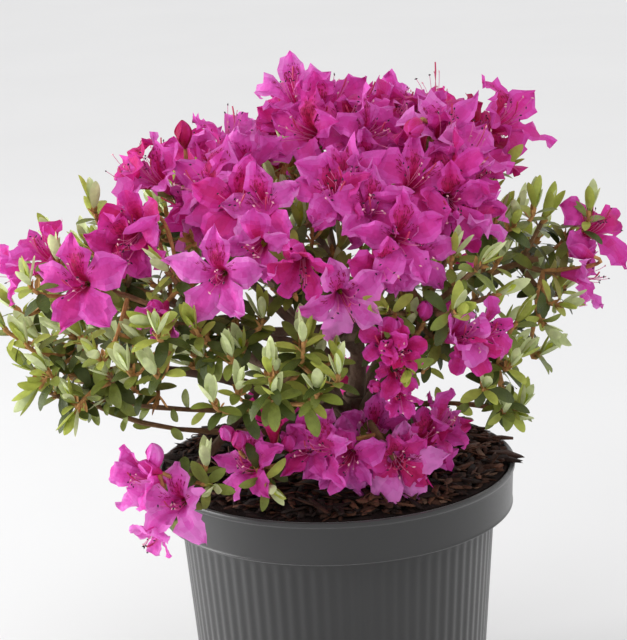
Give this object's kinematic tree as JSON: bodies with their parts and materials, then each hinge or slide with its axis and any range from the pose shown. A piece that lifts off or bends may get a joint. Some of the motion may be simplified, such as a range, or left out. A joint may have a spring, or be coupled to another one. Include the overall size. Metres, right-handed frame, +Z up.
{
  "type": "potted evergreen azalea",
  "caption": "Small evergreen azalea, a rhododendron, in full magenta flower: a domed crown of boughs, leaves and blossom on a short trunk, in a dark ribbed plastic pot under bark mulch.",
  "frame": {"origin": "centre of the pot's flat underside, where it stands", "axes": "+Z up along the pot's axis, -Y towards the front that the picture shows, +X to the right of it"},
  "size_m": [0.3401, 0.302, 0.3669],
  "materials": {
    "pot_plastic": "matte, finely ribbed",
    "compost": "damp crumb",
    "bark_mulch": "rough bark chips",
    "azalea_wood": "rough grey-brown bark",
    "blossom_and_leaves": "thin soft petals",
    "leaves": "semi-gloss leaves"
  },
  "bodies": {
    "root": {"pot": "pot_plastic", "root_ball": "compost", "bark_mulch": "bark_mulch", "trunk": "azalea_wood", "bough_top_1": "azalea_wood", "bough_upper_1": "azalea_wood", "bough_upper_2": "azalea_wood", "bough_upper_3": "azalea_wood", "bough_upper_4": "azalea_wood", "bough_middle_1": "azalea_wood", "bough_middle_2": "azalea_wood", "bough_middle_3": "azalea_wood", "bough_middle_4": "azalea_wood", "bough_middle_5": "azalea_wood", "bough_middle_6": "azalea_wood", "bough_skirt_1": "azalea_wood", "bough_skirt_2": "azalea_wood", "bough_skirt_3": "azalea_wood", "bough_skirt_4": "azalea_wood", "bough_skirt_5": "azalea_wood", "bough_skirt_6": "azalea_wood", "bough_spray_low_left": "azalea_wood", "bough_spray_low_front": "azalea_wood", "bough_spray_low_right": "azalea_wood", "bough_spray_low_back": "azalea_wood", "top_1": "blossom_and_leaves", "upper_1": "blossom_and_leaves", "upper_2": "blossom_and_leaves", "upper_3": "blossom_and_leaves", "upper_4": "blossom_and_leaves", "middle_1": "blossom_and_leaves", "middle_2": "blossom_and_leaves", "middle_3": "leaves", "middle_4": "blossom_and_leaves", "middle_5": "blossom_and_leaves", "middle_6": "blossom_and_leaves", "skirt_1": "leaves", "skirt_2": "leaves", "skirt_3": "leaves", "skirt_4": "leaves", "skirt_5": "leaves", "skirt_6": "leaves", "spray_low_left": "blossom_and_leaves", "spray_low_front": "blossom_and_leaves", "spray_low_right": "blossom_and_leaves", "spray_low_back": "blossom_and_leaves"}
  },
  "joints": []
}
